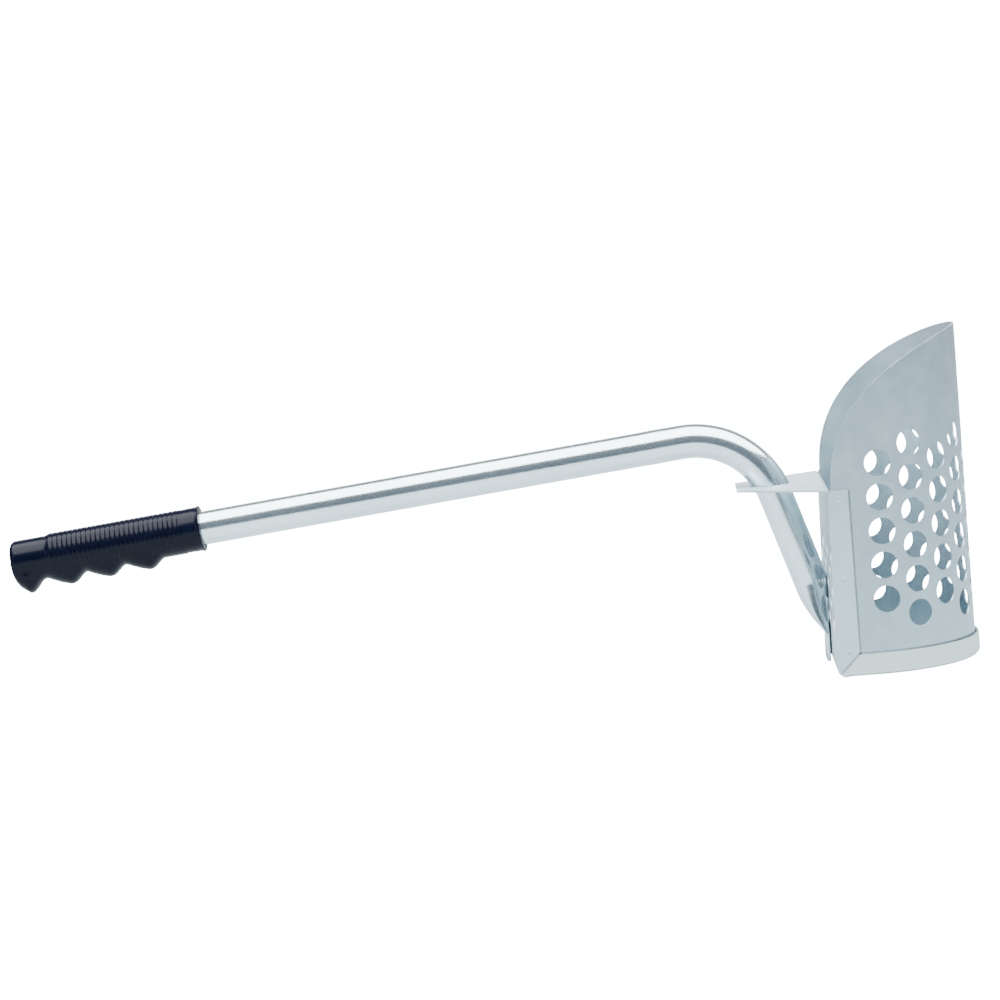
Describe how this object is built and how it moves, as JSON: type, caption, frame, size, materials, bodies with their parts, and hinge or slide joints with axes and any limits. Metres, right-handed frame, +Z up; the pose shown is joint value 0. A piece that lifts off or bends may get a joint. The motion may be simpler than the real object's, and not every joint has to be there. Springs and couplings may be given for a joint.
{
  "type": "sifting scoop",
  "caption": "Sifting scoop: a perforated galvanised steel basket with a pointed digging lip, on a bent tube handle with a moulded finger grip.",
  "frame": {"origin": "centre of the flat underside of the floor pan", "axes": "+X towards the digging lip, with the handle running to -X; +Z up out of the basket's mouth; +Y across the scoop"},
  "size_m": [0.624, 0.1416, 0.213],
  "materials": {
    "galvanised_plate": "galvanised sheet with a fine spangle",
    "galvanised_pan": "galvanised sheet with a fine spangle",
    "galvanised_wall": "galvanised perforated sheet, satin",
    "zinc_tube": "bright zinc-plated tube, semi-gloss",
    "grip_vinyl": "navy-black dipped vinyl, semi-gloss with fine ribs",
    "zinc_hardware": "zinc plated"
  },
  "bodies": {
    "root": {"back_plate": "galvanised_plate", "floor_pan": "galvanised_pan", "basket_shell": "galvanised_wall", "handle_tube": "zinc_tube", "finger_grip": "grip_vinyl", "tab_bolt": "zinc_hardware", "tab_washer": "zinc_hardware", "tab_nut": "zinc_hardware"}
  },
  "joints": []
}
